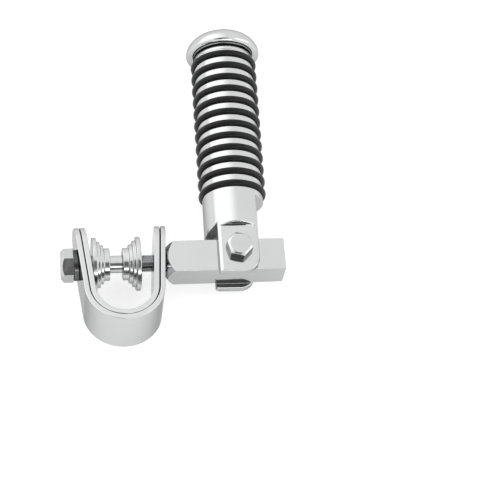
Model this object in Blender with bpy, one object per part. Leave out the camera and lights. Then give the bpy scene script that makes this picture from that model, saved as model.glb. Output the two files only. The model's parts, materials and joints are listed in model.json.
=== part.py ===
"""Folding highway foot peg: U-clamp for a guard bar, square arm, hinged barrel with O-rings."""
import math
import bmesh
import bpy
from mathutils import Matrix, Vector

for old in list(bpy.data.objects):
    bpy.data.objects.remove(old, do_unlink=True)

mm = 0.001
gap = 0.3 * mm          # clearance kept between touching pieces
roundSides = 40         # facets of the big round pieces
pinSides = 24           # facets of bolts and their holes
ringSides = 28
sectionSides = 8

# Clamp: two nested U leaves round a 32 mm guard bar. The eye's centre is the origin.
eyeRadius = 16.2 * mm
leafThick = 3.05 * mm
strapWidth = 30.0 * mm
leftSplay = math.radians(5.0)
rightSplay = math.radians(4.5)
boltDrop = 23.6 * mm    # eye centre to bolt axis
tipReach = 22.6 * mm    # bolt axis to leg tip
clampTilt = math.radians(9.3)

# Clamp bolt, M10
boltRadius = 5.0 * mm
boltHeadFlats = 17.0 * mm
boltHeadHigh = 6.2 * mm
washerRadius = 9.0 * mm
washerThick = 2.0 * mm
washerSplit = 1.4 * mm

# Stepped cones on the bolt, small ends facing
coneRadii = [15.5 * mm, 13.3 * mm, 11.2 * mm, 9.3 * mm]
coneSteps = [2.6 * mm, 2.0 * mm, 2.0 * mm, 3.4 * mm]
coneGap = 7.4 * mm

# Arm: square bar from the clamp to the hinge
armSide = 19.0 * mm
armClampEnd = 41.1 * mm  # pivot to the end that meets the clamp
armTail = 26.9 * mm      # pivot to the free end
armEndLip = 0.86 * mm    # flat side down to the turned end's circle
armEndSlope = 1.08
armEdge = 0.5 * mm
armBoreDeep = 22.0 * mm

# Hinge, M8
pivotRise = 1.65 * mm    # pivot above the arm's centreline
pivotRadius = 4.0 * mm
pivotFlats = 13.0 * mm
pivotHeadHigh = 5.3 * mm
pivotNutHigh = 6.5 * mm
pivotStub = 0.8 * mm
pegLean = math.radians(1.03)

# Peg barrel, along its own +Y from the pivot
barrelRadius = 17.8 * mm
earEnd = 14.15 * mm
earHalfWide = 11.7 * mm
earCorner = 9.0 * mm
earThick = 5.2 * mm
flatRun = 1.3 * mm       # slope of the shoulder above each ear flat
swingRoom = 1.9 * mm     # slot's floor beyond the arm's swinging corner
slotFloor = 3.15 * mm    # slot's floor to the shoulder beside the tail
sideRoom = 0.75 * mm     # straight arm to the slot's wall
stopRoom = 8.5 * mm      # folded arm to the shoulder above it
shoulderSlope = 0.738

# O-rings, half sunk in the barrel
ringCount = 12
ringStart = 5.8 * mm     # tail shoulder to the first ring
ringPitch = 7.859 * mm
ringRadius = 1.9 * mm

# End cap
endLand = 3.1 * mm       # last ring to the barrel's end
capOver = 4.2 * mm       # cap's rim beyond the barrel
capRim = 5.5 * mm        # barrel end to the widest circle
capHigh = 12.5 * mm      # dome above that circle
capStep = 0.4 * mm       # cap's neck inside the barrel's radius
spigotRadius = 6.0 * mm
spigotLong = 14.0 * mm

armHalf = armSide / 2
armEndCircle = armHalf - armEndLip
earFlat = armHalf + gap + earThick
slotDeep = math.hypot(armTail, armHalf + pivotRise) + swingRoom
slotWall = armHalf - pivotRise + sideRoom  # slot's wall on the clamp side
tailShoulder = slotDeep + slotFloor
clampShoulder = armHalf - pivotRise + stopRoom
ringFirst = tailShoulder + ringStart
barrelEnd = ringFirst + (ringCount - 1) * ringPitch + endLand
capRadius = barrelRadius + capOver
capNeck = barrelRadius - capStep
outerFace = 2 * leafThick + gap
boltPoint = Vector((0, boltDrop * math.cos(clampTilt), -boltDrop * math.sin(clampTilt)))


def legAt(splay, offset, rise):
    """Distance from the eye's plane to a leg's face, at a rise above the bolt axis."""
    return (eyeRadius + offset + (boltDrop + rise) * math.sin(splay)) / math.cos(splay)


eyeToPivot = legAt(rightSplay, outerFace, armEndCircle) + gap + armClampEnd


def material(name, colour, metallic, roughness):
    made = bpy.data.materials.new(name)
    made.use_nodes = True
    shader = made.node_tree.nodes["Principled BSDF"]
    shader.inputs["Base Color"].default_value = (*colour, 1)
    shader.inputs["Metallic"].default_value = metallic
    shader.inputs["Roughness"].default_value = roughness
    return made


def frame(name, location, rotation=(0, 0, 0)):
    made = bpy.data.objects.new(name, None)
    bpy.context.collection.objects.link(made)
    made.location = location
    made.rotation_euler = rotation
    return made


def solid(name, shape, parent, at=(0, 0, 0), look=None, smooth=False):
    """One object from a bmesh; without a look it is a hidden cutter."""
    bmesh.ops.recalc_face_normals(shape, faces=shape.faces)
    mesh = bpy.data.meshes.new(name)
    shape.to_mesh(mesh)
    shape.free()
    made = bpy.data.objects.new(name, mesh)
    bpy.context.collection.objects.link(made)
    made.parent = parent
    made.location = at
    if look:
        mesh.materials.append(look)
    else:
        made.hide_render = True
        made.display_type = "WIRE"
    if smooth:
        for face in mesh.polygons:
            face.use_smooth = True
        mesh.set_sharp_from_angle(angle=math.radians(30))
    return made


def carve(target, cutter, operation="DIFFERENCE"):
    step = target.modifiers.new(cutter.name, "BOOLEAN")
    step.operation = operation
    step.solver = "EXACT"
    step.object = cutter


turnTo = {
    "X": Matrix(((0, 0, 1), (1, 0, 0), (0, 1, 0))).to_4x4(),
    "Y": Matrix(((0, 1, 0), (0, 0, 1), (1, 0, 0))).to_4x4(),
    "Z": Matrix.Identity(4),
}


def turned(profile, sides, axis, closed=False, phase=0.0):
    """Revolves (radius, height) pairs about an axis; closed joins the last pair to the first."""
    shape = bmesh.new()
    rows = []
    for radius, height in profile:
        if radius < 1e-7:
            rows.append([shape.verts.new((0, 0, height))] * sides)
            continue
        rows.append([
            shape.verts.new((
                radius * math.cos(phase + math.tau * i / sides),
                radius * math.sin(phase + math.tau * i / sides),
                height,
            ))
            for i in range(sides)
        ])
    pairs = list(zip(rows, rows[1:]))
    if closed:
        pairs.append((rows[-1], rows[0]))
    for low, high in pairs:
        for i in range(sides):
            j = (i + 1) % sides
            corners = [low[i], low[j], high[j], high[i]]
            corners = [c for n, c in enumerate(corners) if c not in corners[:n]]
            if len(corners) > 2:
                shape.faces.new(corners)
    shape.transform(turnTo[axis])
    return shape


def rod(radius, low, high, sides, axis, phase=0.0):
    return turned([(0, low), (radius, low), (radius, high), (0, high)], sides, axis, phase=phase)


def prism(outline, low, high, axis="Z"):
    """Extrudes a closed outline of (x, y) pairs along an axis."""
    shape = bmesh.new()
    bottom = [shape.verts.new((x, y, low)) for x, y in outline]
    top = [shape.verts.new((x, y, high)) for x, y in outline]
    shape.faces.new(bottom[::-1])
    shape.faces.new(top)
    count = len(outline)
    for i in range(count):
        j = (i + 1) % count
        shape.faces.new((bottom[i], bottom[j], top[j], top[i]))
    shape.transform(turnTo[axis])
    return shape


def arc(centre, radius, start, end, steps):
    return [
        (
            centre[0] + radius * math.cos(start + (end - start) * i / steps),
            centre[1] + radius * math.sin(start + (end - start) * i / steps),
        )
        for i in range(steps + 1)
    ]


chrome = material("chrome", (0.86, 0.87, 0.88), 1.0, 0.08)
darkChrome = material("cone_chrome", (0.8, 0.81, 0.82), 1.0, 0.14)
steel = material("bolt_steel", (0.72, 0.73, 0.74), 1.0, 0.22)
rubber = material("ring_rubber", (0.03, 0.03, 0.032), 0.0, 0.55)

clampFrame = frame("clamp_frame", (0, 0, 0), (-clampTilt, 0, 0))
armFrame = frame("arm_frame", boltPoint + Vector((eyeToPivot, 0, 0)))
pegFrame = frame("peg_frame", boltPoint + Vector((eyeToPivot, pivotRise, 0)), (0, 0, -pegLean))

# Clamp straps


def legPoint(side, splay, reach, offset):
    """A point on a leg's face: reach along the leg, offset from the eye's circle."""
    radius = eyeRadius + offset
    return (
        side * (radius * math.cos(splay) + reach * math.sin(splay)),
        -radius * math.sin(splay) + reach * math.cos(splay),
    )


def strapOutline(inside, outside):
    reach = (boltDrop + tipReach) * 1.2
    outline = []
    for offset, forward in ((outside, True), (inside, False)):
        bend = arc((0, 0), eyeRadius + offset, math.pi + leftSplay, math.tau - rightSplay, 22)
        line = [legPoint(-1, leftSplay, reach, offset)] + bend
        line += [legPoint(1, rightSplay, reach, offset)]
        outline += line if forward else line[::-1]
    return outline


tipHeight = boltDrop + tipReach
halfStrap = strapWidth / 2
strapBlank = [(-eyeRadius * 2, -halfStrap)]
strapBlank += arc((tipHeight - halfStrap, 0), halfStrap, -math.pi / 2, math.pi / 2, 20)
strapBlank += [(-eyeRadius * 2, halfStrap)]
blankCutter = solid("strap_blank", prism(strapBlank, -0.06, 0.06, "X"), clampFrame)
boltAt = (0, boltDrop, 0)
strapHole = solid("strap_hole", rod(boltRadius + gap, -0.06, 0.06, pinSides, "X"), clampFrame, boltAt)
for name, inside, outside in (
    ("strap_inner", 0, leafThick),
    ("strap_outer", leafThick + gap, outerFace),
):
    strap = solid(name, prism(strapOutline(inside, outside), -halfStrap, halfStrap), clampFrame, look=chrome,
                  smooth=True)
    carve(strap, blankCutter, "INTERSECT")
    carve(strap, strapHole)


washerFace = -legAt(leftSplay, outerFace, washerRadius) - gap
headFace = washerFace - washerThick - gap
armFace = eyeToPivot - armClampEnd


def boltSolid(name, flats, headLow, headHigh, radius, end, axis, parent, at, look):
    """Hex-headed bolt: chamfered head from headLow to headHigh, shank on to end."""
    corner = flats / 2 / math.cos(math.pi / 6)
    away = 1 if headHigh > headLow else -1
    shank = rod(radius, end, headLow + away * 0.5 * mm, pinSides, axis)
    made = solid(name, shank, parent, at, look, smooth=True)
    head = turned([(0, headLow), (corner, headLow), (corner, headHigh), (0, headHigh)], 6, axis)
    headSolid = solid(name + "_head", head, parent, at)
    rim = flats / 2 * 0.93
    drop = (corner - rim) * 0.55
    dome = turned(
        [(0, headLow - away * mm), (corner * 1.1, headLow - away * mm), (corner * 1.1, headHigh - away * drop * 1.6),
         (rim, headHigh), (0, headHigh + away * 0.02 * mm)],
        pinSides, axis)
    carve(headSolid, solid(name + "_dome", dome, parent, at), "INTERSECT")
    carve(made, headSolid, "UNION")
    return made


boltSolid("clamp_bolt", boltHeadFlats, headFace, headFace - boltHeadHigh, boltRadius,
          armFace + armBoreDeep - 2 * mm, "X", clampFrame, boltAt, steel)

washer = solid(
    "clamp_lock_washer",
    turned([(boltRadius + gap, washerFace), (washerRadius, washerFace), (washerRadius, washerFace - washerThick),
            (boltRadius + gap, washerFace - washerThick)], pinSides, "X", closed=True),
    clampFrame, boltAt, steel, smooth=True)
splitBox = prism([(0, -washerSplit / 2), (washerRadius * 1.3, -washerSplit / 2),
                  (washerRadius * 1.3, washerSplit / 2), (0, washerSplit / 2)], -0.06, 0.06, "X")
carve(washer, solid("washer_split", splitBox, clampFrame, boltAt))

# Stepped cones


def coneProfile(start, towards):
    bore = boltRadius + gap
    profile = [(bore, start)]
    at = start
    for radius, step in zip(coneRadii, coneSteps):
        profile.append((radius, at))
        at += towards * step
        profile.append((radius, at))
    profile.append((bore, at))
    return profile


leftConeFace = gap - legAt(leftSplay, 0, -coneRadii[0])
rightConeFace = leftConeFace + 2 * sum(coneSteps) + coneGap
for name, start, towards in (
    ("cone_left", leftConeFace, 1),
    ("cone_right", rightConeFace, -1),
):
    solid(name, turned(coneProfile(start, towards), roundSides, "X", closed=True), clampFrame, boltAt,
          darkChrome, smooth=True)

# Arm block, its clamp end turned to a cone

armBar = prism(
    [(-armHalf + armEdge, -armHalf), (armHalf - armEdge, -armHalf), (armHalf, -armHalf + armEdge),
     (armHalf, armHalf - armEdge), (armHalf - armEdge, armHalf), (-armHalf + armEdge, armHalf),
     (-armHalf, armHalf - armEdge), (-armHalf, -armHalf + armEdge)],
    -armClampEnd, armTail, "X")
arm = solid("arm_block", armBar, armFrame, look=chrome, smooth=True)
coneRun = 8 * mm
tailLip = 0.6 * mm
armTurning = turned(
    [(0, -armClampEnd), (armEndCircle, -armClampEnd), (armEndCircle + armEndSlope * coneRun, -armClampEnd + coneRun),
     (armEndCircle + armEndSlope * coneRun, armTail - tailLip), (armHalf * 1.36, armTail), (0, armTail)],
    roundSides, "X")
carve(arm, solid("arm_turning", armTurning, armFrame), "INTERSECT")
carve(arm, solid("arm_bore", rod(boltRadius + gap, -armClampEnd - mm, -armClampEnd + armBoreDeep, pinSides, "X"),
                 armFrame))
carve(arm, solid("arm_pivot_bore", rod(pivotRadius + gap, -armSide, armSide, pinSides, "Z"), armFrame,
                 (0, pivotRise, 0)))

# Peg barrel

grooveHalf = ringRadius + gap
grooveFloor = barrelRadius - ringRadius - gap
barrelProfile = [(0, -earEnd), (barrelRadius, -earEnd)]
for i in range(ringCount):
    centre = ringFirst + i * ringPitch
    barrelProfile += [
        (barrelRadius, centre - grooveHalf), (grooveFloor, centre - grooveHalf * 0.45),
        (grooveFloor, centre + grooveHalf * 0.45), (barrelRadius, centre + grooveHalf),
    ]
barrelProfile += [
    (barrelRadius, barrelEnd), (spigotRadius + gap, barrelEnd),
    (spigotRadius + gap, barrelEnd - spigotLong - mm), (0, barrelEnd - spigotLong - mm),
]
barrel = solid("peg_barrel", turned(barrelProfile, roundSides, "Y"), pegFrame, look=chrome, smooth=True)

wide = barrelRadius * 1.4
below = -earEnd - 6 * mm
slotHalf = armHalf + gap
shoulderOut = clampShoulder - (wide - earHalfWide) * shoulderSlope
shoulderIn = clampShoulder + (earHalfWide - slotWall) * shoulderSlope
cuts = {
    "slot": prism([(-wide, below), (wide, below), (wide, slotDeep), (-slotWall, slotDeep),
                   (-slotWall, shoulderIn), (-wide, shoulderOut)], -slotHalf, slotHalf),
    "tail_side": prism([(earHalfWide, below), (wide, below), (wide, tailShoulder), (earHalfWide, tailShoulder)],
                       -wide, wide),
    "clamp_side": prism([(-wide, below), (-earHalfWide, below), (-earHalfWide, clampShoulder),
                         (-wide, shoulderOut)], -wide, wide),
    "pivot_bore": rod(pivotRadius + gap, -wide, wide, pinSides, "Z"),
}
for side, label in ((1, "top_flat"), (-1, "under_flat")):
    rise = wide - earFlat
    run = flatRun * rise / (barrelRadius - earFlat)
    outline = [(below, side * earFlat), (earEnd, side * earFlat), (earEnd + run, side * wide), (below, side * wide)]
    cuts[label] = prism(outline, -wide, wide, "X")
corner = [(earHalfWide + mm, -earEnd - mm), (earHalfWide + mm, -earEnd + earCorner)]
corner += arc((earHalfWide - earCorner, -earEnd + earCorner), earCorner, 0, -math.pi / 2, 8)
corner += [(earHalfWide - earCorner, -earEnd - mm)]
cuts["ear_corner"] = prism(corner, -wide, wide)
for label, shape in cuts.items():
    carve(barrel, solid("cut_" + label, shape, pegFrame))

# O-rings

ringSection = arc((barrelRadius, 0), ringRadius, 0, math.tau, sectionSides)[:-1]
for i in range(ringCount):
    solid(f"o_ring_{i + 1:02d}", turned(ringSection, ringSides, "Y", closed=True), pegFrame,
          (0, ringFirst + i * ringPitch, 0), rubber, smooth=True)

# End cap

capStart = barrelEnd + gap
capWide = barrelEnd + capRim
capProfile = [(0, capStart - spigotLong), (spigotRadius, capStart - spigotLong), (spigotRadius, capStart),
              (capNeck, capStart), (capNeck + 0.2 * mm, capStart + 2.4 * mm), (capRadius * 0.875, capStart + 3.9 * mm),
              (capRadius * 0.96, capWide - 0.9 * mm), (capRadius, capWide)]
capProfile += [
    (capRadius * math.cos(math.pi / 2 * i / 9), capWide + capHigh * math.sin(math.pi / 2 * i / 9))
    for i in range(1, 9)
] + [(0, capWide + capHigh)]
solid("end_cap", turned(capProfile, roundSides, "Y"), pegFrame, look=chrome, smooth=True)

# Pivot bolt and nut

headAt = earFlat + gap
nutAt = -earFlat - gap
boltSolid("pivot_bolt", pivotFlats, headAt, headAt + pivotHeadHigh, pivotRadius,
          nutAt - pivotNutHigh - pivotStub, "Z", pegFrame, (0, 0, 0), steel)
nutCorner = pivotFlats / 2 / math.cos(math.pi / 6)
nut = solid("pivot_nut",
            turned([(pivotRadius + gap, nutAt), (nutCorner, nutAt), (nutCorner, nutAt - pivotNutHigh),
                    (pivotRadius + gap, nutAt - pivotNutHigh)], 6, "Z", closed=True),
            pegFrame, look=steel, smooth=True)
carve(nut, solid("nut_bore", rod(pivotRadius + gap, nutAt - 2 * pivotNutHigh, nutAt + mm, pinSides, "Z"), pegFrame))
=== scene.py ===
import json
import math
import bmesh
import bpy
from mathutils import Matrix, Vector


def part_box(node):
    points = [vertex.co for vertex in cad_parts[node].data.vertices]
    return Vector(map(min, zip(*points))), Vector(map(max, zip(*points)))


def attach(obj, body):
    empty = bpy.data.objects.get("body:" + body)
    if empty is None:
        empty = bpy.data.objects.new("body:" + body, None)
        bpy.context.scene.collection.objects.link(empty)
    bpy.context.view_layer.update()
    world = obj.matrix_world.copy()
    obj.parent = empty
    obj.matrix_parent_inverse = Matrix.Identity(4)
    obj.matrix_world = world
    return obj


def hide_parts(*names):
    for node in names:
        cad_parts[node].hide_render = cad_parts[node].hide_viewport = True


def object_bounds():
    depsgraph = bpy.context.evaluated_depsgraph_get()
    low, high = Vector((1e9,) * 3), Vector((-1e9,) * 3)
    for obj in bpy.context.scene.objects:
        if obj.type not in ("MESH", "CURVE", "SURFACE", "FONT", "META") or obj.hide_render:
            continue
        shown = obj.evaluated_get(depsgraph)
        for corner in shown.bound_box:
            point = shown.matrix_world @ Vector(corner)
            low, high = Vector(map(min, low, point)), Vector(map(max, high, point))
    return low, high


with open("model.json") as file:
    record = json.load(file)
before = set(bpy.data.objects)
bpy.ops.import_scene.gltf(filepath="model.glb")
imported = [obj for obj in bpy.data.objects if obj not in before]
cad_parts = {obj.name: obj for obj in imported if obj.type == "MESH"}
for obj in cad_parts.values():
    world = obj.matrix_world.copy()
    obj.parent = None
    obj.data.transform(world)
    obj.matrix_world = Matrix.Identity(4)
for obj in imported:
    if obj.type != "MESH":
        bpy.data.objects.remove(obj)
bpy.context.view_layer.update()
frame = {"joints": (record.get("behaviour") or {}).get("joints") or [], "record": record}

mm = 0.001
joints = {joint["name"]: joint for joint in frame["joints"]}
mounts = {mount["name"]: mount for mount in frame["record"]["mounts"]}
swivelPoint = Vector(joints["arm_swivel"]["pos_m"])  # arm's turned end, on the clamp bolt's axis
pivotPoint = Vector(joints["peg_fold"]["pos_m"])
clampTilt = math.atan2(mounts["guard_bar"]["axis"][1], mounts["guard_bar"]["axis"][2])
boltDrop = math.hypot(swivelPoint.y, swivelPoint.z)  # eye centre to bolt axis

pegLean = math.radians(1.03)
clampPlace = Matrix.Rotation(-clampTilt, 4, "X")
boltPlace = clampPlace @ Matrix.Translation((0, boltDrop, 0))
armPlace = Matrix.Translation((pivotPoint.x, swivelPoint.y, swivelPoint.z))
pegPlace = Matrix.Translation(pivotPoint) @ Matrix.Rotation(-pegLean, 4, "Z")

turnTo = {  # lays a shape made along Z on another axis
    "X": Matrix(((0, 0, 1), (1, 0, 0), (0, 1, 0))).to_4x4(),
    "Y": Matrix(((0, 1, 0), (0, 0, 1), (1, 0, 0))).to_4x4(),
    "Z": Matrix.Identity(4),
}

# Shape helpers


def turned(profile, sides, axis, closed=False, phase=0.0):
    shape = bmesh.new()
    rows = []
    for radius, height in profile:
        if radius < 1e-7:
            rows.append([shape.verts.new((0, 0, height))] * sides)
            continue
        rows.append([
            shape.verts.new((radius * math.cos(phase + math.tau * i / sides),
                             radius * math.sin(phase + math.tau * i / sides), height))
            for i in range(sides)])
    pairs = list(zip(rows, rows[1:]))
    if closed:
        pairs.append((rows[-1], rows[0]))
    for low, high in pairs:
        for i in range(sides):
            j = (i + 1) % sides
            corners = [low[i], low[j], high[j], high[i]]
            corners = [c for n, c in enumerate(corners) if c not in corners[:n]]
            if len(corners) > 2:
                shape.faces.new(corners)
    shape.transform(turnTo[axis])
    return shape


def prism(outline, low, high, axis="Z"):
    shape = bmesh.new()
    bottom = [shape.verts.new((x, y, low)) for x, y in outline]
    top = [shape.verts.new((x, y, high)) for x, y in outline]
    shape.faces.new(bottom[::-1])
    shape.faces.new(top)
    for i in range(len(outline)):
        j = (i + 1) % len(outline)
        shape.faces.new((bottom[i], bottom[j], top[j], top[i]))
    shape.transform(turnTo[axis])
    return shape


def arcPoints(centre, radius, start, end, steps):
    return [(centre[0] + radius * math.cos(start + (end - start) * i / steps),
             centre[1] + radius * math.sin(start + (end - start) * i / steps)) for i in range(steps + 1)]


def softCorners(profile, radius, steps=3):
    # rounds each inner corner of an open (radius, height) line
    rounded = [profile[0]]
    for before, here, after in zip(profile, profile[1:], profile[2:]):
        a, b, c = Vector(before), Vector(here), Vector(after)
        cut = min(radius, (a - b).length * 0.45, (c - b).length * 0.45)
        start, end = b + (a - b).normalized() * cut, b + (c - b).normalized() * cut
        for i in range(steps + 1):
            t = i / steps
            rounded.append(tuple(start * (1 - t) ** 2 + b * 2 * t * (1 - t) + end * t ** 2))
    return rounded + [profile[-1]]


def asObject(name, shape, place=Matrix.Identity(4), look=None):
    bmesh.ops.recalc_face_normals(shape, faces=shape.faces)
    shape.transform(place)
    mesh = bpy.data.meshes.new(name)
    shape.to_mesh(mesh)
    shape.free()
    if look:
        mesh.materials.append(look)
    made = bpy.data.objects.new(name, mesh)
    bpy.context.scene.collection.objects.link(made)
    return made


def settle(piece):
    # applies every modifier and leaves a plain mesh
    bpy.context.view_layer.update()
    graph = bpy.context.evaluated_depsgraph_get()
    mesh = bpy.data.meshes.new_from_object(piece.evaluated_get(graph), depsgraph=graph)
    old = piece.data
    piece.modifiers.clear()
    piece.data = mesh
    mesh.name = piece.name
    if old.users == 0:
        bpy.data.meshes.remove(old)
    return piece


def carve(piece, cutters):
    for operation, cutter in cutters:
        step = piece.modifiers.new(cutter.name, "BOOLEAN")
        step.operation = operation
        step.solver = "EXACT"
        step.object = cutter
    settle(piece)
    for _, cutter in cutters:
        bpy.data.objects.remove(cutter, do_unlink=True)
    return piece


def softEdges(piece, width, steps=3, angle=32, paint=-1, weld=2e-6):
    clean = bmesh.new()
    clean.from_mesh(piece.data)
    bmesh.ops.remove_doubles(clean, verts=clean.verts, dist=weld)
    bmesh.ops.dissolve_degenerate(clean, edges=clean.edges, dist=weld)
    clean.to_mesh(piece.data)
    clean.free()
    for face in piece.data.polygons:
        face.use_smooth = True
    bevel = piece.modifiers.new("soft edges", "BEVEL")
    bevel.width = width
    bevel.segments = steps
    bevel.limit_method = "ANGLE"
    bevel.angle_limit = math.radians(angle)
    bevel.harden_normals = True
    bevel.use_clamp_overlap = weld < 1e-5
    bevel.material = paint
    return settle(piece)


def smoothTurned(piece, angle=40):
    # smooth shading that leaves the wide faces true
    for face in piece.data.polygons:
        face.use_smooth = True
    piece.data.set_sharp_from_angle(angle=math.radians(angle))
    even = piece.modifiers.new("even", "WEIGHTED_NORMAL")
    even.keep_sharp = True
    return settle(piece)


def finishPiece(piece, body, slot, *nodes):
    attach(piece, body)
    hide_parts(*nodes)


# Material helpers


class Wires:
    def __init__(self, name):
        self.material = bpy.data.materials.new(name)
        self.material.use_nodes = True
        self.tree = self.material.node_tree
        self.tree.nodes.clear()
        self.out = self.tree.nodes.new("ShaderNodeOutputMaterial")
        self.shader = self.node("ShaderNodeBsdfPrincipled")
        self.link(self.shader.outputs[0], self.out.inputs[0])
        self.place = self.node("ShaderNodeTexCoord").outputs["Object"]

    def node(self, kind, **settings):
        made = self.tree.nodes.new(kind)
        for key, value in settings.items():
            setattr(made, key, value)
        return made

    def link(self, start, end):
        self.tree.links.new(start, end)

    def noise(self, scale, detail=4, rough=0.5, stretch=None, twist=0.0):
        source = self.place
        if stretch:
            mapping = self.node("ShaderNodeMapping")
            mapping.inputs["Scale"].default_value = stretch
            self.link(source, mapping.inputs["Vector"])
            source = mapping.outputs[0]
        made = self.node("ShaderNodeTexNoise")
        self.link(source, made.inputs["Vector"])
        made.inputs["Scale"].default_value = scale
        made.inputs["Detail"].default_value = detail
        made.inputs["Roughness"].default_value = rough
        made.inputs["Distortion"].default_value = twist
        return made.outputs["Fac"]

    def ramp(self, source, low, high, start=0.0, end=1.0):
        made = self.node("ShaderNodeMapRange")
        made.inputs["From Min"].default_value = start
        made.inputs["From Max"].default_value = end
        made.inputs["To Min"].default_value = low
        made.inputs["To Max"].default_value = high
        self.link(source, made.inputs["Value"])
        return made.outputs[0]

    def math(self, operation, first, second):
        made = self.node("ShaderNodeMath", operation=operation)
        for socket, value in zip(made.inputs, (first, second)):
            if isinstance(value, (int, float)):
                socket.default_value = value
            else:
                self.link(value, socket)
        return made.outputs[0]

    def blend(self, factor, first, second):
        made = self.node("ShaderNodeMix", data_type="RGBA")
        self.link(factor, made.inputs["Factor"])
        made.inputs[6].default_value = (*first, 1)
        made.inputs[7].default_value = (*second, 1)
        return made.outputs[2]

    def bump(self, height, distance, after=None):
        made = self.node("ShaderNodeBump")
        made.inputs["Distance"].default_value = distance
        made.inputs["Strength"].default_value = 1.0
        self.link(height, made.inputs["Height"])
        if after:
            self.link(after, made.inputs["Normal"])
        return made.outputs[0]


def platedMetal(name, settings):
    # chrome or zinc plate: slow waviness, faint polish lines along one axis, smears of handling
    wires = Wires(name)
    shader = wires.shader
    shader.inputs["Metallic"].default_value = 1.0
    shader.inputs["Specular Tint"].default_value = (*settings["edgeTone"], 1)
    tint = wires.noise(settings["tintScale"], 3)
    wires.link(wires.blend(tint, settings["dark"], settings["light"]), shader.inputs["Base Color"])
    smears = wires.ramp(wires.noise(settings["smearScale"], 6, 0.62, twist=0.6), 0, 1, 0.42, 0.72)
    fine = wires.noise(settings["lineScale"], 3, 0.6, stretch=settings["lineStretch"])
    gloss = wires.ramp(smears, settings["glossLow"], settings["glossHigh"])
    wires.link(wires.math("ADD", gloss, wires.ramp(fine, 0, settings["lineGloss"])), shader.inputs["Roughness"])
    wave = wires.bump(wires.noise(settings["waveScale"], 2, 0.4), settings["waveDeep"])
    lines = wires.bump(fine, settings["lineDeep"], after=wave)
    wires.link(lines, shader.inputs["Normal"])
    return wires.material


chromeLook = {
    "dark": (0.485, 0.488, 0.492), "light": (0.525, 0.528, 0.53), "tintScale": 60,
    "smearScale": 85, "glossLow": 0.045, "glossHigh": 0.1,
    "lineScale": 900, "lineStretch": (0.06, 1, 1), "lineGloss": 0.03, "lineDeep": 0.0000012,
    "waveScale": 55, "waveDeep": 0.00003, "edgeTone": (0.5, 0.5, 0.5),
}
chrome = platedMetal("chromePlate", chromeLook)
barChrome = platedMetal("barChrome", {**chromeLook, "lineScale": 1400, "lineDeep": 0.0000018, "glossLow": 0.07,
                                      "glossHigh": 0.13, "waveDeep": 0.00002})
barrelChrome = platedMetal("barrelChrome", {**chromeLook, "lineStretch": (0.04, 1, 0.04), "lineDeep": 0.00001,
                                            "waveDeep": 0.000012, "glossLow": 0.08, "glossHigh": 0.15})
turnedChrome = platedMetal("turnedChrome", {**chromeLook, "dark": (0.47, 0.472, 0.475), "light": (0.54, 0.542, 0.545),
                                            "lineStretch": (1, 0.05, 0.05), "lineDeep": 0.000004,
                                            "glossLow": 0.13, "glossHigh": 0.22})
boltPlate = platedMetal("boltPlate", {**chromeLook, "dark": (0.44, 0.442, 0.445), "light": (0.54, 0.542, 0.545),
                                      "glossLow": 0.1, "glossHigh": 0.22, "lineStretch": (1, 1, 1),
                                      "lineScale": 500, "lineDeep": 0.000004, "waveDeep": 0.00004})

# dark steel: the lock washer's own colour, and also painted shade on the strap faces inside the gap between the
# leaves and in the end cap's neck groove
darkSteelAndPaintedShade = platedMetal("darkSteelAndPaintedShade", {**chromeLook, "dark": (0.06, 0.06, 0.061), "light": (0.15, 0.15, 0.152),
                                          "glossLow": 0.22, "glossHigh": 0.4, "lineStretch": (1, 1, 1)})

rubberLook = {"dark": (0.002, 0.002, 0.0022), "light": (0.007, 0.007, 0.0072), "gloss": (0.26, 0.42),
              "grainScale": 2600, "grainDeep": 0.000012, "lumpScale": 180, "lumpDeep": 0.00004}


def ringRubberMaterial(look):
    wires = Wires("ringRubber")
    shader = wires.shader
    cloud = wires.noise(look["lumpScale"], 5, 0.6)
    tone = wires.blend(wires.ramp(cloud, 0, 1, 0.35, 0.7), look["dark"], look["light"])
    wires.link(tone, shader.inputs["Base Color"])
    wires.link(wires.ramp(cloud, *look["gloss"], 0.3, 0.7), shader.inputs["Roughness"])
    shader.inputs["Specular IOR Level"].default_value = 0.2
    lump = wires.bump(cloud, look["lumpDeep"])
    wires.link(wires.bump(wires.noise(look["grainScale"], 3), look["grainDeep"], after=lump), shader.inputs["Normal"])
    return wires.material


ringRubber = ringRubberMaterial(rubberLook)
print("stage: materials ready")

# Geometry node trees


class Tree:
    def __init__(self, name, inputs):
        self.tree = bpy.data.node_groups.new(name, "GeometryNodeTree")
        self.sockets = {}
        face = self.tree.interface
        for label, kind, value in inputs:
            socket = face.new_socket(label, in_out="INPUT", socket_type=kind)
            if value is not None:
                socket.default_value = value
            self.sockets[label] = socket.identifier
        face.new_socket("Geometry", in_out="OUTPUT", socket_type="NodeSocketGeometry")
        self.inside = self.tree.nodes.new("NodeGroupInput")
        self.outside = self.tree.nodes.new("NodeGroupOutput")

    def node(self, kind, inputs=None, **settings):
        made = self.tree.nodes.new(kind)
        for key, value in settings.items():
            setattr(made, key, value)
        for key, value in (inputs or {}).items():
            socket = made.inputs[key]
            if isinstance(value, bpy.types.NodeSocket):
                self.tree.links.new(value, socket)
            else:
                socket.default_value = value
        return made

    def value(self, label):
        return self.inside.outputs[label]

    def finish(self, geometry):
        real = self.node("GeometryNodeRealizeInstances", {0: geometry})
        shaded = self.node("GeometryNodeSetShadeSmooth", {"Geometry": real.outputs[0], "Shade Smooth": True})
        painted = self.node("GeometryNodeSetMaterial", {"Geometry": shaded.outputs[0],
                                                        "Material": self.value("Material")})
        self.tree.links.new(painted.outputs[0], self.outside.inputs[0])

    def grow(self, name, values, base=None):
        # a new object from the tree, as a plain mesh
        piece = bpy.data.objects.new(name, base or bpy.data.meshes.new(name))
        bpy.context.scene.collection.objects.link(piece)
        modifier = piece.modifiers.new(name, "NODES")
        modifier.node_group = self.tree
        for label, value in values.items():
            modifier[self.sockets[label]] = value
        return settle(piece)


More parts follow.
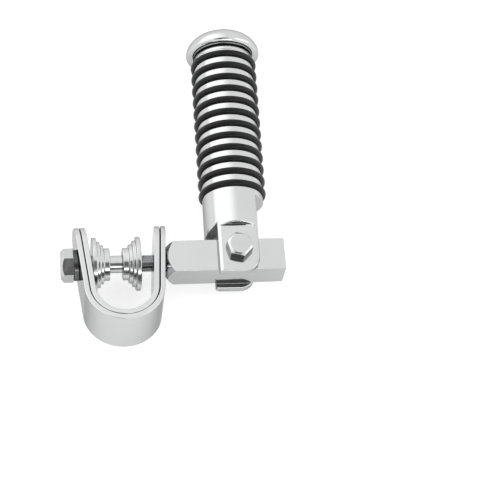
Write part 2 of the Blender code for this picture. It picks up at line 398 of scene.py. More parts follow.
def ringTree():
    # one moulded O-ring about Z, a little uneven as fitted rubber is
    tree = Tree("ringTree", [
        ("Radius", "NodeSocketFloat", 0.0178), ("Section", "NodeSocketFloat", 0.0019),
        ("Sides", "NodeSocketInt", 160), ("Section Sides", "NodeSocketInt", 28),
        ("Unevenness", "NodeSocketFloat", 0.0001), ("Seed", "NodeSocketFloat", 0.0),
        ("Material", "NodeSocketMaterial", None)])
    path = tree.node("GeometryNodeCurvePrimitiveCircle", {"Resolution": tree.value("Sides"),
                                                          "Radius": tree.value("Radius")})
    section = tree.node("GeometryNodeCurvePrimitiveCircle", {"Resolution": tree.value("Section Sides"),
                                                             "Radius": tree.value("Section")})
    swept = tree.node("GeometryNodeCurveToMesh", {"Curve": path.outputs[0], "Profile Curve": section.outputs[0]})
    drift = tree.node("ShaderNodeTexNoise", {"Scale": 45.0, "Detail": 1.0, "W": tree.value("Seed")},
                      noise_dimensions="4D")
    middle = tree.node("ShaderNodeVectorMath", {0: drift.outputs["Color"], 1: (0.5, 0.5, 0.5)}, operation="SUBTRACT")
    scaled = tree.node("ShaderNodeVectorMath", {0: middle.outputs[0], "Scale": tree.value("Unevenness")},
                       operation="SCALE")
    moved = tree.node("GeometryNodeSetPosition", {"Geometry": swept.outputs[0], "Offset": scaled.outputs[0]})
    tree.finish(moved.outputs[0])
    return tree


def grooveTree():
    # repeats the base mesh, one groove and its lands, along Y and welds the rows
    tree = Tree("grooveTree", [
        ("Groove", "NodeSocketGeometry", None), ("Count", "NodeSocketInt", 12),
        ("Pitch", "NodeSocketFloat", 0.0078), ("First", "NodeSocketFloat", 0.04),
        ("Material", "NodeSocketMaterial", None)])
    start = tree.node("ShaderNodeCombineXYZ", {"Y": tree.value("First")})
    step = tree.node("ShaderNodeCombineXYZ", {"Y": tree.value("Pitch")})
    line = tree.node("GeometryNodeMeshLine", {"Count": tree.value("Count"), "Start Location": start.outputs[0],
                                              "Offset": step.outputs[0]})
    row = tree.node("GeometryNodeInstanceOnPoints", {"Points": line.outputs[0], "Instance": tree.value("Groove")})
    real = tree.node("GeometryNodeRealizeInstances", {0: row.outputs[0]})
    welded = tree.node("GeometryNodeMergeByDistance", {"Geometry": real.outputs[0], "Distance": 0.000004})
    tree.finish(welded.outputs[0])
    return tree


def threadTree():
    # a screw thread round Z, from the height 0 up: a tube whose points follow the helix in and out
    tree = Tree("threadTree", [
        ("Radius", "NodeSocketFloat", 0.005), ("Depth", "NodeSocketFloat", 0.0009),
        ("Pitch", "NodeSocketFloat", 0.0015), ("Length", "NodeSocketFloat", 0.03),
        ("Sides", "NodeSocketInt", 48), ("Rows", "NodeSocketInt", 200), ("Lead In", "NodeSocketFloat", 0.0015),
        ("Material", "NodeSocketMaterial", None)])

    def sums(operation, first, second=0.5):
        return tree.node("ShaderNodeMath", {0: first, 1: second}, operation=operation).outputs[0]

    tube = tree.node("GeometryNodeMeshCylinder", {
        "Vertices": tree.value("Sides"), "Side Segments": tree.value("Rows"), "Radius": tree.value("Radius"),
        "Depth": tree.value("Length")})
    lift = tree.node("ShaderNodeCombineXYZ", {"Z": sums("MULTIPLY", tree.value("Length"), 0.5)})
    raised = tree.node("GeometryNodeTransform", {"Geometry": tube.outputs[0], "Translation": lift.outputs[0]})
    at = tree.node("ShaderNodeSeparateXYZ", {0: tree.node("GeometryNodeInputPosition").outputs[0]})
    around = sums("DIVIDE", sums("ARCTAN2", at.outputs[1], at.outputs[0]), math.tau)
    phase = sums("FRACT", sums("SUBTRACT", sums("DIVIDE", at.outputs[2], tree.value("Pitch")), around))
    ridge = sums("ABSOLUTE", sums("SUBTRACT", sums("MULTIPLY", phase, 2.0), 1.0))
    flat = sums("MINIMUM", sums("MULTIPLY", ridge, 1.18), 1.0)  # depth below the crest
    fromEnd = sums("SUBTRACT", tree.value("Length"), at.outputs[2])
    leadIn = sums("SUBTRACT", 1.0, sums("MINIMUM", sums("DIVIDE", fromEnd, tree.value("Lead In")), 1.0))
    inward = sums("MULTIPLY", sums("MAXIMUM", flat, leadIn), tree.value("Depth"))
    share = sums("DIVIDE", sums("SUBTRACT", tree.value("Radius"), inward), tree.value("Radius"))
    place = tree.node("ShaderNodeCombineXYZ", {"X": sums("MULTIPLY", at.outputs[0], share),
                                               "Y": sums("MULTIPLY", at.outputs[1], share), "Z": at.outputs[2]})
    cut = tree.node("GeometryNodeSetPosition", {"Geometry": raised.outputs[0], "Position": place.outputs[0]})
    tree.finish(cut.outputs[0])
    return tree


ringMaker, grooveMaker, threadMaker = ringTree(), grooveTree(), threadTree()

# Clamp straps: two leaves bent round the guard bar

strap = {"eyeRadius": 16.2 * mm, "thick": 3.05 * mm, "gap": 0.3 * mm, "width": 30 * mm,
         "leftSplay": math.radians(5.0), "rightSplay": math.radians(4.5), "tipReach": 22.6 * mm,
         "edge": 0.42 * mm, "bendSteps": 56, "tipSteps": 22, "legSteps": 5, "holeRadius": 5.35 * mm,
         "openLeft": 0.2 * mm, "openRight": 0.4 * mm, "openPower": 5, "closeIn": 0.16 * mm}


def leafStations(radius):
    # (point, outward normal, half width) from the left tip round to the right tip
    tip = boltDrop + strap["tipReach"]
    half = strap["width"] / 2
    stations = []
    for side, splay in ((-1, strap["leftSplay"]), (1, strap["rightSplay"])):
        out = Vector((side * math.cos(splay), -math.sin(splay)))
        along = Vector((side * math.sin(splay), math.cos(splay)))
        foot = out * radius
        straight = (tip - half - foot.y) / along.y
        leg = [(foot + along * straight * i / strap["legSteps"], out, half) for i in range(1, strap["legSteps"] + 1)]
        for i in range(1, strap["tipSteps"] + 1):
            turn = math.pi / 2 * i / strap["tipSteps"]
            reach = straight + half * math.sin(turn) / along.y
            leg.append((foot + along * reach, out, half * math.cos(turn)))
        stations.append(leg)
    bend = []
    start, end = math.pi + strap["leftSplay"], math.tau - strap["rightSplay"]
    for i in range(strap["bendSteps"] + 1):
        angle = start + (end - start) * i / strap["bendSteps"]
        out = Vector((math.cos(angle), math.sin(angle)))
        bend.append((out * radius, out, half))
    return stations[0][::-1] + bend + stations[1]


def buildLeaf(name, inside, node, outermost):
    thick = strap["thick"]
    shape = bmesh.new()
    rows = []
    for point, out, half in leafStations(strap["eyeRadius"] + inside + thick / 2):
        corners = []
        spread = abs(out.x) ** strap["openPower"]  # the leaves nearly touch at the bottom of the bend
        opening = (strap["openLeft"] if out.x < 0 else strap["openRight"]) * spread
        low = -thick / 2 + (opening - strap["closeIn"] * (1 - spread)) * outermost
        for lift in (low, thick / 2):
            at = point + out * lift
            if half < 1e-6:
                corners += [shape.verts.new((at.x, at.y, 0))] * 2
            else:
                corners += [shape.verts.new((at.x, at.y, -half)), shape.verts.new((at.x, at.y, half))]
        rows.append(corners)
    for low, high in zip(rows, rows[1:]):
        # faces turned into the gap between the leaves get material 1, dark steel that paints the shade of the gap
        for a, b, between in ((0, 1, outermost), (3, 2, not outermost), (1, 3, 0), (2, 0, 0)):
            loop = []
            for corner in (low[a], low[b], high[b], high[a]):
                if corner not in loop:
                    loop.append(corner)
            if len(loop) > 2:
                shape.faces.new(loop).material_index = int(between)
    leaf = asObject(name, shape, look=chrome)
    leaf.data.materials.append(darkSteelAndPaintedShade)  # painted shade: the faces inside the gap between the leaves take the dark steel
    drill = asObject("drill", turned([(0, -0.05), (strap["holeRadius"], -0.05), (strap["holeRadius"], 0.05),
                                      (0, 0.05)], 48, "X"), Matrix.Translation((0, boltDrop, 0)))
    carve(leaf, [("DIFFERENCE", drill)])
    softEdges(leaf, strap["edge"], paint=0, weld=0.03 * mm)
    leaf.data.transform(clampPlace)
    finishPiece(leaf, "clamp", "chrome", node)


buildLeaf("innerStrap", 0, "strap_inner", 0)
buildLeaf("outerStrap", strap["thick"] + strap["gap"], "strap_outer", 1)
print("stage: clamp straps bent")

# Bolts


def hexHead(name, flats, low, high, axis, place, chamfer, turn, face):
    # hexagon from low to high with softened corners, its far face rounded off to a circle
    half, soft, rim = flats / 2, 0.22 * mm, flats / 2 * face
    corner = half / math.cos(math.pi / 6)
    slope = chamfer * 1.25 / (corner - rim) * (1 if high > low else -1)
    reach = (half - soft) / math.cos(math.pi / 6)
    outline = []
    for side in range(6):
        aim = turn + side * math.pi / 3
        centre = (reach * math.cos(aim), reach * math.sin(aim))
        outline += arcPoints(centre, soft, aim - math.pi / 6, aim + math.pi / 6, 4)
        ahead = aim + math.pi / 6
        run = (half - soft) * math.tan(math.pi / 6)
        for i in range(1, 12):
            along = run * (i / 6 - 1)
            outline.append((half * math.cos(ahead) - along * math.sin(ahead),
                            half * math.sin(ahead) + along * math.cos(ahead)))
    shape = bmesh.new()
    columns = []
    for x, y in outline:
        radius = math.hypot(x, y)
        shoulder = (radius, high - slope * (radius - rim))
        profile = softCorners([(0, low), (radius, low), shoulder, (rim, high), (0, high)], soft)
        columns.append([shape.verts.new((x / radius * out, y / radius * out, up)) for out, up in profile[1:-1]])
    for here, there in zip(columns, columns[1:] + columns[:1]):
        for n in range(len(here) - 1):
            shape.faces.new((here[n], there[n], there[n + 1], here[n + 1]))
    shape.faces.new([column[0] for column in columns][::-1])
    shape.faces.new([column[-1] for column in columns])
    shape.transform(turnTo[axis])
    return smoothTurned(asObject(name, shape, place), 50)


def joinPieces(name, pieces, look):
    whole = bmesh.new()
    for piece in pieces:
        whole.from_mesh(piece.data)
        bpy.data.objects.remove(piece, do_unlink=True)
    mesh = bpy.data.meshes.new(name)
    whole.to_mesh(mesh)
    whole.free()
    mesh.materials.append(look)
    for face in mesh.polygons:
        face.material_index = 0
    made = bpy.data.objects.new(name, mesh)
    bpy.context.scene.collection.objects.link(made)
    return smoothTurned(made, 35)


def threadedEnd(name, radius, depth, pitch, start, end, axis, place):
    # threaded stretch from start to end, which may lie below it
    length = abs(end - start)
    thread = threadMaker.grow(name, {"Radius": radius, "Depth": depth, "Pitch": pitch, "Length": length, "Sides": 40,
                                     "Rows": round(length / pitch * 8), "Lead In": pitch, "Material": boltPlate})
    flip = Matrix.Identity(4) if end > start else Matrix.Rotation(math.pi, 4, "X")
    thread.data.transform(place @ turnTo[axis] @ Matrix.Translation((0, 0, start)) @ flip)
    return thread


clampBolt = {"flats": 17 * mm, "headHigh": 7.1 * mm, "radius": 5 * mm, "threadFrom": 8.6 * mm, "pitch": 1.0 * mm,
             "depth": 0.52 * mm, "chamfer": 1.3 * mm, "turn": math.radians(38.7), "face": 0.9}


def buildClampBolt():
    low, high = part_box("clamp_bolt")
    headAt = low.x + clampBolt["headHigh"]
    head = hexHead("clampBoltHead", clampBolt["flats"], headAt, low.x, "X", boltPlace, clampBolt["chamfer"],
                   clampBolt["turn"], clampBolt["face"])
    radius = clampBolt["radius"]
    shank = [(0, headAt - 0.5 * mm), (radius + 1.2 * mm, headAt - 0.5 * mm), (radius + 1.2 * mm, headAt + 0.12 * mm),
             (radius, headAt + 0.12 * mm), (radius, clampBolt["threadFrom"] - 0.5 * mm),
             (radius - clampBolt["depth"], clampBolt["threadFrom"]), (0, clampBolt["threadFrom"])]
    body = smoothTurned(asObject("clampBoltShank", turned(shank, 64, "X"), boltPlace))
    thread = threadedEnd("clampBoltThread", radius, clampBolt["depth"], clampBolt["pitch"],
                         clampBolt["threadFrom"] - 0.4 * mm, high.x, "X", boltPlace)
    whole = joinPieces("clampBolt", [head, body, thread], boltPlate)
    finishPiece(whole, "clamp", "bolt_steel", "clamp_bolt")


lockWasher = {"inner": 5.4 * mm, "outer": 8.9 * mm, "steps": 72, "split": math.radians(12),
              "splitAt": math.radians(40), "clear": 0.2 * mm, "thinner": 0.9 * mm, "edge": 0.25 * mm}


def buildLockWasher():
    # split spring ring, wedged between the straight head and the splayed leg
    low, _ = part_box("clamp_lock_washer")
    legOuter = strap["eyeRadius"] + 2 * strap["thick"] + strap["gap"]
    face = legOuter / math.cos(strap["leftSplay"]) + lockWasher["clear"]
    shape = bmesh.new()
    rows = []
    for i in range(lockWasher["steps"] + 1):
        t = i / lockWasher["steps"]
        angle = lockWasher["split"] / 2 + (math.tau - lockWasher["split"]) * t - lockWasher["splitAt"]
        row = []
        inner, outer = lockWasher["inner"], lockWasher["outer"]
        for r, onLeg in ((inner, 0), (outer, 0), (outer, 1), (inner, 1)):
            y, z = r * math.cos(angle), r * math.sin(angle)
            onSplay = -face - (boltDrop + y) * math.tan(strap["leftSplay"])
            x = onSplay if onLeg else low.x + lockWasher["thinner"]
            row.append(shape.verts.new((x, y, z)))
        rows.append(row)
    for first, second in zip(rows, rows[1:]):
        for a in range(4):
            b = (a + 1) % 4
            shape.faces.new((first[a], first[b], second[b], second[a]))
    shape.faces.new(rows[0][::-1])
    shape.faces.new(rows[-1])
    washer = asObject("lockWasher", shape, boltPlace, darkSteelAndPaintedShade)
    softEdges(washer, lockWasher["edge"], 2, 40)
    finishPiece(washer, "clamp", "bolt_steel", "clamp_lock_washer")


buildClampBolt()
buildLockWasher()

# Stepped cones

cone = {"radii": (15.5 * mm, 13.3 * mm, 11.2 * mm, 9.3 * mm), "steps": (2.6 * mm, 2.0 * mm, 2.0 * mm, 3.4 * mm),
        "bore": 5.25 * mm, "edge": 0.5 * mm, "sides": 120}


def buildCone(name, node, body, start, towards):
    profile = [(cone["bore"] + 0.4 * mm, start)]
    at = start
    for radius, step in zip(cone["radii"], cone["steps"]):
        profile.append((radius, at))
        at += towards * step
        profile.append((radius, at))
    profile += [(cone["bore"] + 0.4 * mm, at)]
    profile = softCorners(profile, cone["edge"])
    profile += [(cone["bore"], at - towards * 0.4 * mm), (cone["bore"], start + towards * 0.4 * mm)]
    made = asObject(name, turned(profile, cone["sides"], "X", closed=True), boltPlace, turnedChrome)
    smoothTurned(made, 35)
    finishPiece(made, body, "cone_chrome", node)


buildCone("leftCone", "cone_left", "left_cone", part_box("cone_left")[0].x, 1)
buildCone("rightCone", "cone_right", "right_cone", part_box("cone_right")[1].x, -1)
print("stage: bolt, washer and cones turned")

# Arm block

arm = {"side": 19 * mm, "endLip": 0.86 * mm, "endSlope": 1.08, "edge": 0.45 * mm, "boreRadius": 5.3 * mm,
       "boreDeep": 22 * mm, "pivotBore": 4.25 * mm, "coneRun": 8 * mm, "sides": 128}


def buildArm():
    low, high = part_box("arm_block")
    start, end = low.x - pivotPoint.x, high.x - pivotPoint.x
    half = arm["side"] / 2
    bar = prism([(-half, -half), (half, -half), (half, half), (-half, half)], start, end, "X")
    block = asObject("armBlock", bar, look=barChrome)
    circle = half - arm["endLip"]
    wide = circle + arm["endSlope"] * arm["coneRun"]
    turning = asObject("turning", turned([(0, start), (circle, start), (wide, start + arm["coneRun"]),
                                          (wide, end + mm), (0, end + mm)], arm["sides"], "X"))
    boreEnd = start + arm["boreDeep"]
    bore = asObject("bore", turned([(0, start - mm), (arm["boreRadius"], start - mm), (arm["boreRadius"], boreEnd),
                                    (0, boreEnd)], 48, "X"))
    pivotBore = asObject("pivotBore", turned([(0, -half - mm), (arm["pivotBore"], -half - mm),
                                              (arm["pivotBore"], half + mm), (0, half + mm)], 48, "Z"),
                         Matrix.Translation((0, pivotPoint.y - swivelPoint.y, 0)))
    carve(block, [("INTERSECT", turning), ("DIFFERENCE", bore), ("DIFFERENCE", pivotBore)])
    softEdges(block, arm["edge"], 3, 30)
    block.data.transform(armPlace)
    finishPiece(block, "arm", "chrome", "arm_block")


buildArm()
print("stage: arm milled")

# Peg barrel

ringSizes = {"count": 12, "pitch": 7.859 * mm, "section": 1.9 * mm, "radius": 17.8 * mm, "clearance": 0.08 * mm,
             "sides": 160, "sectionSides": 28, "unevenness": 0.22 * mm, "seedStep": 1.7}
ringPlaces = [pegPlace.inverted() @ ((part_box(f"o_ring_{i + 1:02d}")[0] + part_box(f"o_ring_{i + 1:02d}")[1]) / 2)
              for i in range(ringSizes["count"])]
ringFirst = ringPlaces[0].y
barrel = {"radius": 17.8 * mm, "sides": 140, "earEnd": 14.15 * mm, "earHalfWide": 11.7 * mm, "earCorner": 9 * mm,
          "earFlat": 14.856 * mm, "flatRun": 1.3 * mm, "slotHalf": 9.8 * mm, "slotDeep": 31.02 * mm,
          "slotWall": 8.6 * mm, "tailShoulder": 34.17 * mm, "clampShoulder": 16.35 * mm, "shoulderSlope": 0.738,
          "edge": 0.55 * mm, "pivotBore": 4.25 * mm, "spigotBore": 6.3 * mm, "endLand": 3.1 * mm,
          "lip": 0.26 * mm, "crown": 0.07 * mm, "boreDeep": 15 * mm,
          "rows": [at * mm for at in (-10, -5, 0, 5, 9, 11.5, 13.1, 16.3, 17.5, 20, 25, 30)]}


def grooveProfile(pitch):
    # one groove between two half lands, as (radius, height); the lands are slightly crowned
    groove = ringSizes["section"] + ringSizes["clearance"]
    radius, lip = barrel["radius"], barrel["lip"]
    land = pitch / 2 - groove - lip
    half = [(radius - barrel["crown"] * (i / 5) ** 3, -pitch / 2 + land * i / 5) for i in range(6)]
    edge = half[-1][0]
    half += [(edge - lip * 0.12, -groove - lip * 0.5), (edge - lip * 0.5, -groove - lip * 0.1)]
    half += [(edge - groove * math.sin(turn), -groove * math.cos(turn))
             for turn in [math.pi / 2 * (i + 1.4) / 8 for i in range(7)] if turn < math.pi / 2]
    return half + [(r, -h) for r, h in reversed(half)]


def trueRoundNormals(peg, radius, slack):
    # faces left on the turned surface shade exactly round, however the cuts split them
    mesh, back = peg.data, pegPlace.inverted()
    normals = [Vector(corner.vector) for corner in mesh.corner_normals]
    places = [back @ vert.co for vert in mesh.vertices]
    spin, unspin = pegPlace.to_3x3(), back.to_3x3()
    for face in mesh.polygons:
        facing = unspin @ face.normal
        for loop in face.loop_indices:
            at = places[mesh.loops[loop].vertex_index]
            radial = Vector((at.x, 0, at.z))
            if abs(radial.length - radius) < slack and facing.dot(radial.normalized()) > 0.9:
                normals[loop] = spin @ radial.normalized()
    mesh.normals_split_custom_set(normals)


def buildBarrel():
    radius, sides = barrel["radius"], barrel["sides"]
    wide = radius * 1.4
    below = -barrel["earEnd"] - 6 * mm
    joinAt = ringFirst - ringSizes["pitch"] / 2
    rows = [(radius, at) for at in barrel["rows"]]  # keep the long facets short where the cuts end
    knuckle = asObject("knuckle", turned([(0, -barrel["earEnd"]), (radius, -barrel["earEnd"]), *rows,
                                          (radius, joinAt + 3 * mm), (0, joinAt + 3 * mm)], sides, "Y"))
    ear, slope = barrel["earHalfWide"], barrel["shoulderSlope"]
    shoulderOut = barrel["clampShoulder"] - (wide - ear) * slope
    shoulderIn = barrel["clampShoulder"] + (ear - barrel["slotWall"]) * slope
    corner = [(ear + mm, -barrel["earEnd"] - mm), (ear + mm, -barrel["earEnd"] + barrel["earCorner"])]
    corner += arcPoints((ear - barrel["earCorner"], -barrel["earEnd"] + barrel["earCorner"]), barrel["earCorner"], 0,
                        -math.pi / 2, 20)
    corner += [(ear - barrel["earCorner"], -barrel["earEnd"] - mm)]
    shapes = [
        prism([(-wide, below), (wide, below), (wide, barrel["slotDeep"]), (-barrel["slotWall"], barrel["slotDeep"]),
               (-barrel["slotWall"], shoulderIn), (-wide, shoulderOut)], -barrel["slotHalf"], barrel["slotHalf"]),
        prism([(ear, below), (wide, below), (wide, barrel["tailShoulder"]), (ear, barrel["tailShoulder"])],
              -wide, wide),
        prism([(-wide, below), (-ear, below), (-ear, barrel["clampShoulder"]), (-wide, shoulderOut)], -wide, wide),
        turned([(0, -wide), (barrel["pivotBore"], -wide), (barrel["pivotBore"], wide), (0, wide)], 48, "Z"),
        prism(corner, -wide, wide)]
    for side in (1, -1):
        run = barrel["flatRun"] * (wide - barrel["earFlat"]) / (radius - barrel["earFlat"])
        flat = [(below, side * barrel["earFlat"]), (barrel["earEnd"], side * barrel["earFlat"]),
                (barrel["earEnd"] + run, side * wide), (below, side * wide)]
        shapes.append(prism(flat, -wide, wide, "X"))
    carve(knuckle, [("DIFFERENCE", asObject(f"cut{i}", shape)) for i, shape in enumerate(shapes)])
    softEdges(knuckle, barrel["edge"], 3, 36, weld=0.09 * mm)
    trim = bmesh.new()
    trim.from_mesh(knuckle.data)
    bmesh.ops.holes_fill(trim, edges=[edge for edge in trim.edges if edge.is_boundary])  # a face lost to the weld
    bmesh.ops.bisect_plane(trim, geom=trim.verts[:] + trim.edges[:] + trim.faces[:], dist=1e-6,
                           plane_co=(0, joinAt, 0), plane_no=(0, 1, 0), clear_outer=True)
    trim.to_mesh(knuckle.data)
    trim.free()
    # the grooved length, its last half land cut back to the end
    base = turned(grooveProfile(ringSizes["pitch"]), sides, "Y")
    baseMesh = bpy.data.meshes.new("grooveBase")
    base.to_mesh(baseMesh)
    base.free()
    grooves = grooveMaker.grow("grooves", {"Count": ringSizes["count"], "Pitch": ringSizes["pitch"],
                                           "First": ringFirst, "Material": barrelChrome}, baseMesh)
    endAt = ringPlaces[-1].y + barrel["endLand"]
    boreEnd = endAt - barrel["boreDeep"]
    whole = bmesh.new()
    whole.from_mesh(knuckle.data)
    whole.from_mesh(grooves.data)
    bpy.data.objects.remove(knuckle, do_unlink=True)
    bpy.data.objects.remove(grooves, do_unlink=True)
    lipAt = endAt - barrel["lip"]
    bmesh.ops.bisect_plane(whole, geom=whole.verts[:] + whole.edges[:] + whole.faces[:], dist=1e-6,
                           plane_co=(0, lipAt, 0), plane_no=(0, 1, 0), clear_outer=True)
    lipRadius = max(math.hypot(vert.co.x, vert.co.z) for vert in whole.verts if abs(vert.co.y - lipAt) < 1e-5)
    mouth = turned([(lipRadius, lipAt), (radius - barrel["lip"], endAt), (barrel["spigotBore"], endAt),
                    (barrel["spigotBore"], boreEnd), (0, boreEnd)], sides, "Y")
    mouthMesh = bpy.data.meshes.new("mouth")
    mouth.to_mesh(mouthMesh)
    mouth.free()
    whole.from_mesh(mouthMesh)
    bpy.data.meshes.remove(mouthMesh)
    bmesh.ops.remove_doubles(whole, verts=whole.verts, dist=4e-6)
    peg = asObject("pegBarrel", whole, pegPlace, barrelChrome)
    smoothTurned(peg, 33)
    trueRoundNormals(peg, radius, 0.05 * mm)
    finishPiece(peg, "peg", "chrome", "peg_barrel")


buildBarrel()
print("stage: peg barrel grooved")

# Rubber rings, one piece each

for i, middle in enumerate(ringPlaces):
    ring = ringMaker.grow(f"oRing{i + 1:02d}", {
        "Radius": ringSizes["radius"], "Section": ringSizes["section"], "Sides": ringSizes["sides"],
        "Section Sides": ringSizes["sectionSides"], "Unevenness": ringSizes["unevenness"],
        "Seed": i * ringSizes["seedStep"], "Material": ringRubber})
    ring.data.transform(pegPlace @ Matrix.Translation((0, middle.y, 0)) @ turnTo["Y"])
    finishPiece(ring, "peg", "ring_rubber", f"o_ring_{i + 1:02d}")
print("stage: rubber rings fitted")

# End cap

cap = {"neck": 17.5 * mm, "neckHigh": 1.75 * mm, "groove": 16.1 * mm, "grooveHigh": 2.8 * mm, "rim": 22.0 * mm,
       "rimAt": 5.2 * mm, "high": 12.5 * mm, "spigot": 6.0 * mm, "spigotDeep": 14 * mm, "sides": 160, "steps": 26,
       "gap": 0.3 * mm, "seat": 0.24 * mm, "edge": 0.2 * mm, "full": 0.84}


def buildCap():
    start = ringPlaces[-1].y + barrel["endLand"] + cap["gap"]
    rimAt, neckEnd, skirtAt = start + cap["rimAt"], start + cap["neckHigh"], start + cap["grooveHigh"]
    seat = start - cap["seat"]
    core = [(0, start - cap["spigotDeep"]), (cap["spigot"], start - cap["spigotDeep"]), (cap["spigot"], seat),
            (cap["neck"], seat), (cap["neck"], neckEnd), (cap["groove"], neckEnd), (cap["groove"], skirtAt),
            (cap["neck"] + 0.3 * mm, skirtAt)]
    swell, run = cap["rim"] - core[-1][0], rimAt - skirtAt
    skirt = [(core[-1][0] + swell * math.sin(math.pi / 2 * i / 14) ** 0.9,
              skirtAt + run * (1 - math.cos(math.pi / 2 * i / 14))) for i in range(1, 15)]
    dome = []
    for i in range(1, cap["steps"] + 1):
        turn = math.pi / 2 * i / cap["steps"]
        dome.append((cap["rim"] * math.cos(turn) ** cap["full"] if i < cap["steps"] else 0,
                     rimAt + cap["high"] * math.sin(turn)))
    profile = softCorners(core, cap["edge"]) + skirt + dome
    whole = asObject("endCap", turned(profile, cap["sides"], "Y"), pegPlace, chrome)
    whole.data.materials.append(darkSteelAndPaintedShade)  # painted shade: the neck groove takes the dark steel, as does the spigot hidden inside the barrel
    # faces inside the neck radius and below the skirt get material 1: the groove painted dark as shade, the spigot
    # left unplated
    for face in whole.data.polygons:
        middle = pegPlace.inverted() @ face.center
        reach = math.hypot(middle.x, middle.z)
        if reach < cap["neck"] - cap["edge"] and middle.y < skirtAt + 0.05 * mm:
            face.material_index = 1
    smoothTurned(whole, 40)
    finishPiece(whole, "peg", "chrome", "end_cap")


buildCap()
print("stage: end cap turned")

# Hinge bolt and nut

hinge = {"headFlats": 13.4 * mm, "face": 0.87, "headHigh": 5.3 * mm, "shank": 4.0 * mm, "nutFlats": 13 * mm,
         "nutHigh": 6.5 * mm, "chamfer": 1.0 * mm, "turn": math.radians(-15), "pitch": 1.0 * mm, "depth": 0.5 * mm,
         "stand": 15.3 * mm}


def buildHinge():
    place = Matrix.Translation(pivotPoint)
    low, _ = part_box("pivot_bolt")
    stand, top = hinge["stand"], hinge["stand"] + hinge["headHigh"]
    head = hexHead("hingeHead", hinge["headFlats"], stand, top, "Z", place, hinge["chamfer"], hinge["turn"],
                   hinge["face"])
    threadFrom = -stand + 0.5 * mm
    shank = [(0, stand + 0.3 * mm), (hinge["shank"], stand + 0.3 * mm), (hinge["shank"], threadFrom), (0, threadFrom)]
    body = smoothTurned(asObject("hingeShank", turned(shank, 48, "Z"), place))
    thread = threadedEnd("hingeThread", hinge["shank"], hinge["depth"], hinge["pitch"], threadFrom + 0.3 * mm,
                         low.z - pivotPoint.z, "Z", place)
    whole = joinPieces("pivotBolt", [head, body, thread], boltPlate)
    finishPiece(whole, "peg", "bolt_steel", "pivot_bolt")
    nut = hexHead("pivotNut", hinge["nutFlats"], -stand, -stand - hinge["nutHigh"], "Z", place, hinge["chamfer"],
                  hinge["turn"], hinge["face"])
    nutBore = asObject("nutBore", turned([(0, -0.05), (hinge["shank"] + 0.1 * mm, -0.05),
                                          (hinge["shank"] + 0.1 * mm, 0.05), (0, 0.05)], 48, "Z"), place)
    smoothTurned(carve(nut, [("DIFFERENCE", nutBore)]))
    nut.data.materials.clear()
    nut.data.materials.append(boltPlate)
    finishPiece(nut, "peg", "bolt_steel", "pivot_nut")


buildHinge()
print("stage: hinge bolted")

# Floor, light and camera

studio = {
    "floorSize": 6.0, "floorDrop": 0.3 * mm, "floorColour": 0.6, "floorGlow": 0.54, "roomGlow": 1.3,
    "horizonFade": 0.26,
    "patches": (  # towards, change of brightness, full inside this cosine, none outside this one
        ((-0.729, 0.465, 0.504), 0.7, 0.93, 0.5),   # soft box on the left
        ((0.82, -0.2, 0.45), 0.8, 0.93, 0.82),      # smaller one on the right, in front
        ((-0.1, -0.45, 0.887), -1.1, 0.95, 0.9),    # unlit part of the room
    ),
    "lampAt": (0.25, -1.1, 0.62), "lampAim": (0.03, 0.02, 0), "lampSize": (0.5, 0.12), "lampPower": 1.6,
    "lens": 139.97, "filmWidth": 36, "cameraAt": (-0.0842, -0.4382, 1.0028),
    "cameraTurn": (25.3417, -6.7328, -4.8625), "cameraNearFar": (0.05, 20),
}


def buildFloor():
    low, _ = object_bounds()
    shape = bmesh.new()
    bmesh.ops.create_grid(shape, x_segments=2, y_segments=2, size=studio["floorSize"] / 2)
    wires = Wires("paleFloor")
    tone = studio["floorColour"]
    cloud = wires.noise(6, 3)
    wires.link(wires.blend(cloud, (tone * 0.985,) * 3, (tone,) * 3), wires.shader.inputs["Base Color"])
    wires.shader.inputs["Roughness"].default_value = 0.9
    wires.shader.inputs["Specular IOR Level"].default_value = 0.0
    wires.shader.inputs["Emission Color"].default_value = (1, 1, 1, 1)
    wires.shader.inputs["Emission Strength"].default_value = studio["floorGlow"]
    floor = asObject("floor", shape, Matrix.Translation((0, 0, low.z - studio["floorDrop"])), wires.material)


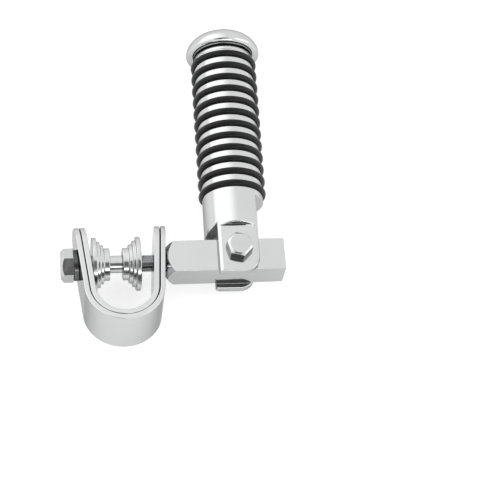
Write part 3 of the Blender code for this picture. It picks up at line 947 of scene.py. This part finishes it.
class RoomWires(Wires):
    def __init__(self, tree):
        self.tree = tree
        self.tree.nodes.clear()
        self.place = self.node("ShaderNodeTexCoord").outputs["Generated"]

    def patch(self, aim, inner, outer):
        # 1 towards aim, 0 away from it, soft between
        toward = self.node("ShaderNodeVectorMath", operation="DOT_PRODUCT")
        self.link(self.place, toward.inputs[0])
        toward.inputs[1].default_value = Vector(aim).normalized()
        soft = self.node("ShaderNodeMapRange", interpolation_type="SMOOTHSTEP")
        soft.inputs["From Min"].default_value = outer
        soft.inputs["From Max"].default_value = inner
        self.link(toward.outputs["Value"], soft.inputs["Value"])
        return soft.outputs[0]


def buildRoom():
    world = bpy.data.worlds.new("room")
    bpy.context.scene.world = world
    world.use_nodes = True
    wires = RoomWires(world.node_tree)
    horizon = wires.patch((0, 0, 1), studio["horizonFade"], 0)
    level = studio["roomGlow"]
    for aim, change, inner, outer in studio["patches"]:
        reach = wires.math("MULTIPLY", wires.patch(aim, inner, outer), horizon)
        level = wires.math("ADD", level, wires.ramp(reach, 0, change))
    glow = wires.node("ShaderNodeBackground")
    wires.link(level, glow.inputs["Strength"])
    out = wires.node("ShaderNodeOutputWorld")
    wires.link(glow.outputs[0], out.inputs[0])
    glow.inputs["Color"].default_value = (1, 1, 1, 1)


def softLight(name, at, aim, size, power):
    lamp = bpy.data.lights.new(name, "AREA")
    lamp.shape = "RECTANGLE"
    lamp.size, lamp.size_y = size
    lamp.energy = power
    holder = bpy.data.objects.new(name, lamp)
    holder.location = at
    holder.rotation_mode = "QUATERNION"
    holder.rotation_quaternion = (Vector(aim) - Vector(at)).to_track_quat("-Z", "Y")
    bpy.context.scene.collection.objects.link(holder)


def buildCamera():
    camera = bpy.data.cameras.new("camera")
    camera.lens = studio["lens"]
    camera.sensor_width = studio["filmWidth"]
    camera.clip_start, camera.clip_end = studio["cameraNearFar"]
    holder = bpy.data.objects.new("camera", camera)
    holder.location = studio["cameraAt"]
    holder.rotation_euler = [math.radians(turn) for turn in studio["cameraTurn"]]
    bpy.context.scene.collection.objects.link(holder)
    bpy.context.scene.camera = holder


buildFloor()
buildRoom()
softLight("frontLight", studio["lampAt"], studio["lampAim"], studio["lampSize"], studio["lampPower"])
buildCamera()
bpy.context.scene.view_settings.view_transform = "Standard"
print("stage: studio lit")
